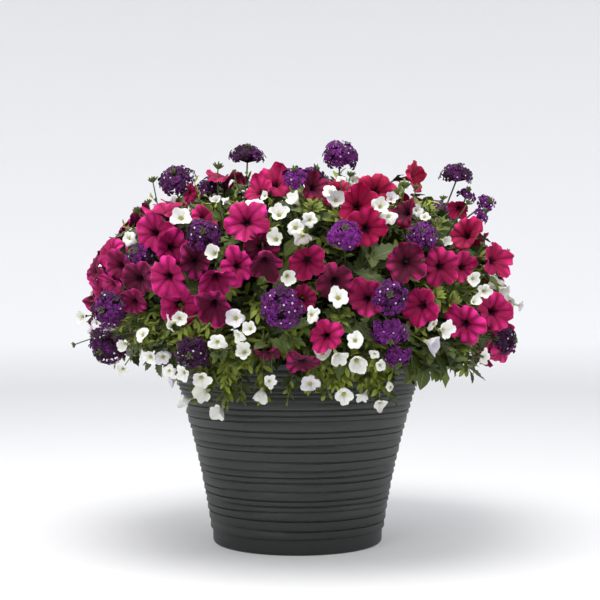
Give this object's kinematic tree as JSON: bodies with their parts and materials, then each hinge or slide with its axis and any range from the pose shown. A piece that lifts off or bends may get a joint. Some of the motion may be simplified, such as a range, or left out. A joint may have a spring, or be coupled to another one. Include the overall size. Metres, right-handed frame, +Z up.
{
  "type": "planted patio pot of petunias, verbenas and trailing calibrachoas",
  "caption": "Free-standing ribbed plastic pot, planted with a domed mass of magenta petunias, purple verbena heads and white calibrachoas that trail over its rim",
  "frame": {"origin": "on the ground, under the middle of the pot, at the centre of the pad under its floor", "axes": "+Z up along the pot's axis; -Y is the plants' best side; +X is to the right seen from there"},
  "size_m": [0.6151, 0.6552, 0.563],
  "materials": {
    "pot_plastic": "dark grey ribbed plastic, slightly satin",
    "potting_soil": "moist peat and bark compost",
    "petunia": "magenta petals on green stems and leaves",
    "verbena": "dark purple florets on green stems and leaves",
    "calibrachoa": "white petals on green stems and leaves"
  },
  "bodies": {
    "root": {"calibrachoa_shoot_22": "calibrachoa", "calibrachoa_shoot_23": "calibrachoa", "calibrachoa_shoot_24": "calibrachoa", "calibrachoa_shoot_25": "calibrachoa", "calibrachoa_shoot_26": "calibrachoa", "calibrachoa_shoot_27": "calibrachoa", "calibrachoa_shoot_28": "calibrachoa", "calibrachoa_shoot_29": "calibrachoa", "calibrachoa_shoot_30": "calibrachoa", "calibrachoa_shoot_31": "calibrachoa", "calibrachoa_shoot_32": "calibrachoa", "calibrachoa_shoot_33": "calibrachoa", "calibrachoa_shoot_34": "calibrachoa", "petunia_shoot_01": "petunia", "petunia_shoot_02": "petunia", "petunia_shoot_03": "petunia", "petunia_shoot_04": "petunia", "petunia_shoot_05": "petunia", "petunia_shoot_06": "petunia", "petunia_shoot_07": "petunia", "petunia_shoot_08": "petunia", "petunia_shoot_09": "petunia", "petunia_shoot_10": "petunia", "petunia_shoot_11": "petunia", "petunia_shoot_12": "petunia", "pot": "pot_plastic", "soil": "potting_soil", "verbena_shoot_13": "verbena", "verbena_shoot_14": "verbena", "verbena_shoot_15": "verbena", "verbena_shoot_16": "verbena", "verbena_shoot_17": "verbena", "verbena_shoot_18": "verbena", "verbena_shoot_19": "verbena", "verbena_shoot_20": "verbena", "verbena_shoot_21": "verbena"}
  },
  "joints": []
}
